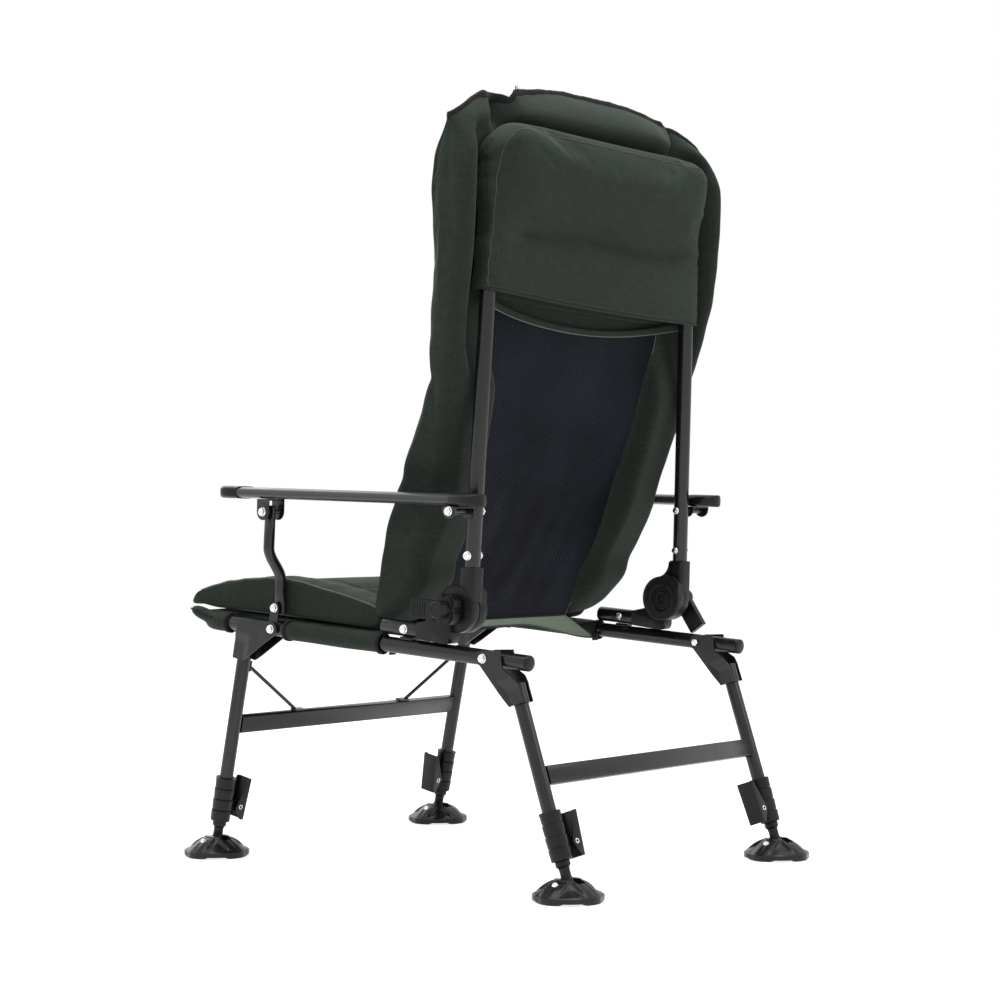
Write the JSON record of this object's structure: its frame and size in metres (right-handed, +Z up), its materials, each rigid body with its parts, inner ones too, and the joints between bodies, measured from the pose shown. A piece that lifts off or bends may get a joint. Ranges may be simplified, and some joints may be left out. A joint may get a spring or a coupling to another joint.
{
  "type": "reclining carp fishing chair",
  "caption": "High-backed folding fishing armchair with a quilted cushion, reclining back, swinging armrests and telescopic legs on swivelling mud feet.",
  "frame": {"origin": "on the ground, at the middle of the chair's footprint", "axes": "+X to the sitter's left, +Y to the rear, +Z up"},
  "size_m": [0.609, 0.7597, 1.1131],
  "materials": {
    "frame": "satin dark grey powder coat",
    "plastic": "black moulded plastic with a fine grain",
    "armrest": "satin dark grey with a slight sheen",
    "steel": "bright plated steel",
    "cloth": "dark olive green woven polyester over padding",
    "mesh": "blue-black woven mesh"
  },
  "bodies": {
    "base": {"seat_frame": "frame", "rail_end_cap_left": "plastic", "rail_end_cap_right": "plastic", "hinge_stub_tube_left": "frame", "hinge_stub_tube_right": "frame", "hinge_lower_plate_left": "plastic", "hinge_lower_plate_right": "plastic", "front_leg_pivot_bolt_left": "steel", "front_leg_pivot_bolt_right": "steel", "rear_leg_pivot_bolt_left": "steel", "rear_leg_pivot_bolt_right": "steel", "strut_pivot_bolt_left": "steel", "strut_pivot_bolt_right": "steel", "seat_sling": "cloth", "seat_pad": "cloth"},
    "backrest": {"back_frame": "frame", "hinge_upper_plate_left": "plastic", "hinge_upper_plate_right": "plastic", "arm_rear_pivot_bolt_left": "steel", "arm_rear_pivot_bolt_right": "steel", "back_pad": "cloth", "back_mesh_panel": "mesh", "head_hood": "cloth"},
    "front_legs": {"front_leg_left": "frame", "front_leg_right": "frame", "front_cross_bar": "frame", "front_stay_left": "frame", "front_stay_right": "frame", "front_clamp_collar_left": "plastic", "front_clamp_collar_right": "plastic"},
    "rear_legs": {"rear_leg_left": "frame", "rear_leg_right": "frame", "rear_cross_bar": "frame", "rear_clamp_collar_left": "plastic", "rear_clamp_collar_right": "plastic"},
    "armrest_left": {"armrest_left": "armrest", "arm_front_bracket_left": "frame", "arm_rear_bracket_left": "frame", "arm_front_pivot_bolt_left": "steel"},
    "strut_left": {"arm_strut_left": "frame"},
    "lock_knob_left": {"lock_knob_left": "plastic"},
    "armrest_right": {"armrest_right": "armrest", "arm_front_bracket_right": "frame", "arm_rear_bracket_right": "frame", "arm_front_pivot_bolt_right": "steel"},
    "strut_right": {"arm_strut_right": "frame"},
    "lock_knob_right": {"lock_knob_right": "plastic"},
    "front_inner_leg_left": {"front_inner_leg_left": "frame"},
    "front_clamp_lever_left": {"front_clamp_lever_left": "plastic"},
    "front_foot_left": {"front_foot_left": "plastic"},
    "front_inner_leg_right": {"front_inner_leg_right": "frame"},
    "front_clamp_lever_right": {"front_clamp_lever_right": "plastic"},
    "front_foot_right": {"front_foot_right": "plastic"},
    "rear_inner_leg_left": {"rear_inner_leg_left": "frame"},
    "rear_clamp_lever_left": {"rear_clamp_lever_left": "plastic"},
    "rear_foot_left": {"rear_foot_left": "plastic"},
    "rear_inner_leg_right": {"rear_inner_leg_right": "frame"},
    "rear_clamp_lever_right": {"rear_clamp_lever_right": "plastic"},
    "rear_foot_right": {"rear_foot_right": "plastic"}
  },
  "joints": [
    {"name": "backrest_recline", "type": "hinge", "parent": "base", "child": "backrest", "pos_m": [0, 0.13899, 0.37955], "axis": [1, 0, 0], "range_deg": [-35, 65], "deforming": ["back_pad", "back_mesh_panel"]},
    {"name": "front_legs_fold", "type": "hinge", "parent": "base", "child": "front_legs", "pos_m": [0, -0.20195, 0.34136], "axis": [1, 0, 0], "range_deg": [0, 90]},
    {"name": "rear_legs_fold", "type": "hinge", "parent": "base", "child": "rear_legs", "pos_m": [0, 0.19715, 0.3145], "axis": [1, 0, 0], "range_deg": [-100, 0]},
    {"name": "armrest_left_swing", "type": "hinge", "parent": "backrest", "child": "armrest_left", "pos_m": [0.28, 0.16527, 0.51299], "axis": [1, 0, 0], "range_deg": [-63, 34]},
    {"name": "strut_left_swing", "type": "hinge", "parent": "base", "child": "strut_left", "pos_m": [0.254, -0.19737, 0.37212], "axis": [1, 0, 0], "range_deg": [-35, 65]},
    {"name": "lock_knob_left_turn", "type": "hinge", "parent": "base", "child": "lock_knob_left", "pos_m": [0.27, 0.13899, 0.37955], "axis": [1, 0, 0], "range_deg": [0, 180]},
    {"name": "armrest_right_swing", "type": "hinge", "parent": "backrest", "child": "armrest_right", "pos_m": [-0.28, 0.16527, 0.51299], "axis": [1, 0, 0], "range_deg": [-63, 34]},
    {"name": "strut_right_swing", "type": "hinge", "parent": "base", "child": "strut_right", "pos_m": [-0.254, -0.19737, 0.37212], "axis": [1, 0, 0], "range_deg": [-35, 65]},
    {"name": "lock_knob_right_turn", "type": "hinge", "parent": "base", "child": "lock_knob_right", "pos_m": [-0.27, 0.13899, 0.37955], "axis": [1, 0, 0], "range_deg": [0, 180]},
    {"name": "front_leg_left_slide", "type": "slide", "parent": "front_legs", "child": "front_inner_leg_left", "axis": [0, 0.2045, 0.9789], "range_m": [-0.1, 0]},
    {"name": "front_lever_left_open", "type": "hinge", "parent": "front_legs", "child": "front_clamp_lever_left", "pos_m": [0.226, -0.31816, 0.07388], "axis": [0, -0.9789, 0.2045], "range_deg": [0, 35]},
    {"name": "front_foot_left_tilt", "type": "hinge", "parent": "front_inner_leg_left", "child": "front_foot_left", "pos_m": [0.252, -0.329, 0.022], "axis": [1, 0, 0], "range_deg": [-15, 15]},
    {"name": "front_leg_right_slide", "type": "slide", "parent": "front_legs", "child": "front_inner_leg_right", "axis": [0, 0.2045, 0.9789], "range_m": [-0.1, 0]},
    {"name": "front_lever_right_open", "type": "hinge", "parent": "front_legs", "child": "front_clamp_lever_right", "pos_m": [-0.226, -0.31816, 0.07388], "axis": [0, 0.9789, -0.2045], "range_deg": [0, 35]},
    {"name": "front_foot_right_tilt", "type": "hinge", "parent": "front_inner_leg_right", "child": "front_foot_right", "pos_m": [-0.252, -0.329, 0.022], "axis": [1, 0, 0], "range_deg": [-15, 15]},
    {"name": "rear_leg_left_slide", "type": "slide", "parent": "rear_legs", "child": "rear_inner_leg_left", "axis": [0, 0.3206, -0.9472], "range_m": [0, 0.1]},
    {"name": "rear_lever_left_open", "type": "hinge", "parent": "rear_legs", "child": "rear_clamp_lever_left", "pos_m": [0.226, 0.31401, 0.0722], "axis": [0, -0.9472, -0.3206], "range_deg": [0, 35]},
    {"name": "rear_foot_left_tilt", "type": "hinge", "parent": "rear_inner_leg_left", "child": "rear_foot_left", "pos_m": [0.252, 0.331, 0.022], "axis": [1, 0, 0], "range_deg": [-15, 15]},
    {"name": "rear_leg_right_slide", "type": "slide", "parent": "rear_legs", "child": "rear_inner_leg_right", "axis": [0, 0.3206, -0.9472], "range_m": [0, 0.1]},
    {"name": "rear_lever_right_open", "type": "hinge", "parent": "rear_legs", "child": "rear_clamp_lever_right", "pos_m": [-0.226, 0.31401, 0.0722], "axis": [0, 0.9472, 0.3206], "range_deg": [0, 35]},
    {"name": "rear_foot_right_tilt", "type": "hinge", "parent": "rear_inner_leg_right", "child": "rear_foot_right", "pos_m": [-0.252, 0.331, 0.022], "axis": [1, 0, 0], "range_deg": [-15, 15]}
  ],
  "couplings": [
    {"joint": "armrest_left_swing", "follows": "backrest_recline", "ratio": -0.956},
    {"joint": "strut_left_swing", "follows": "backrest_recline", "ratio": 0.986},
    {"joint": "armrest_right_swing", "follows": "backrest_recline", "ratio": -0.956},
    {"joint": "strut_right_swing", "follows": "backrest_recline", "ratio": 0.986}
  ]
}
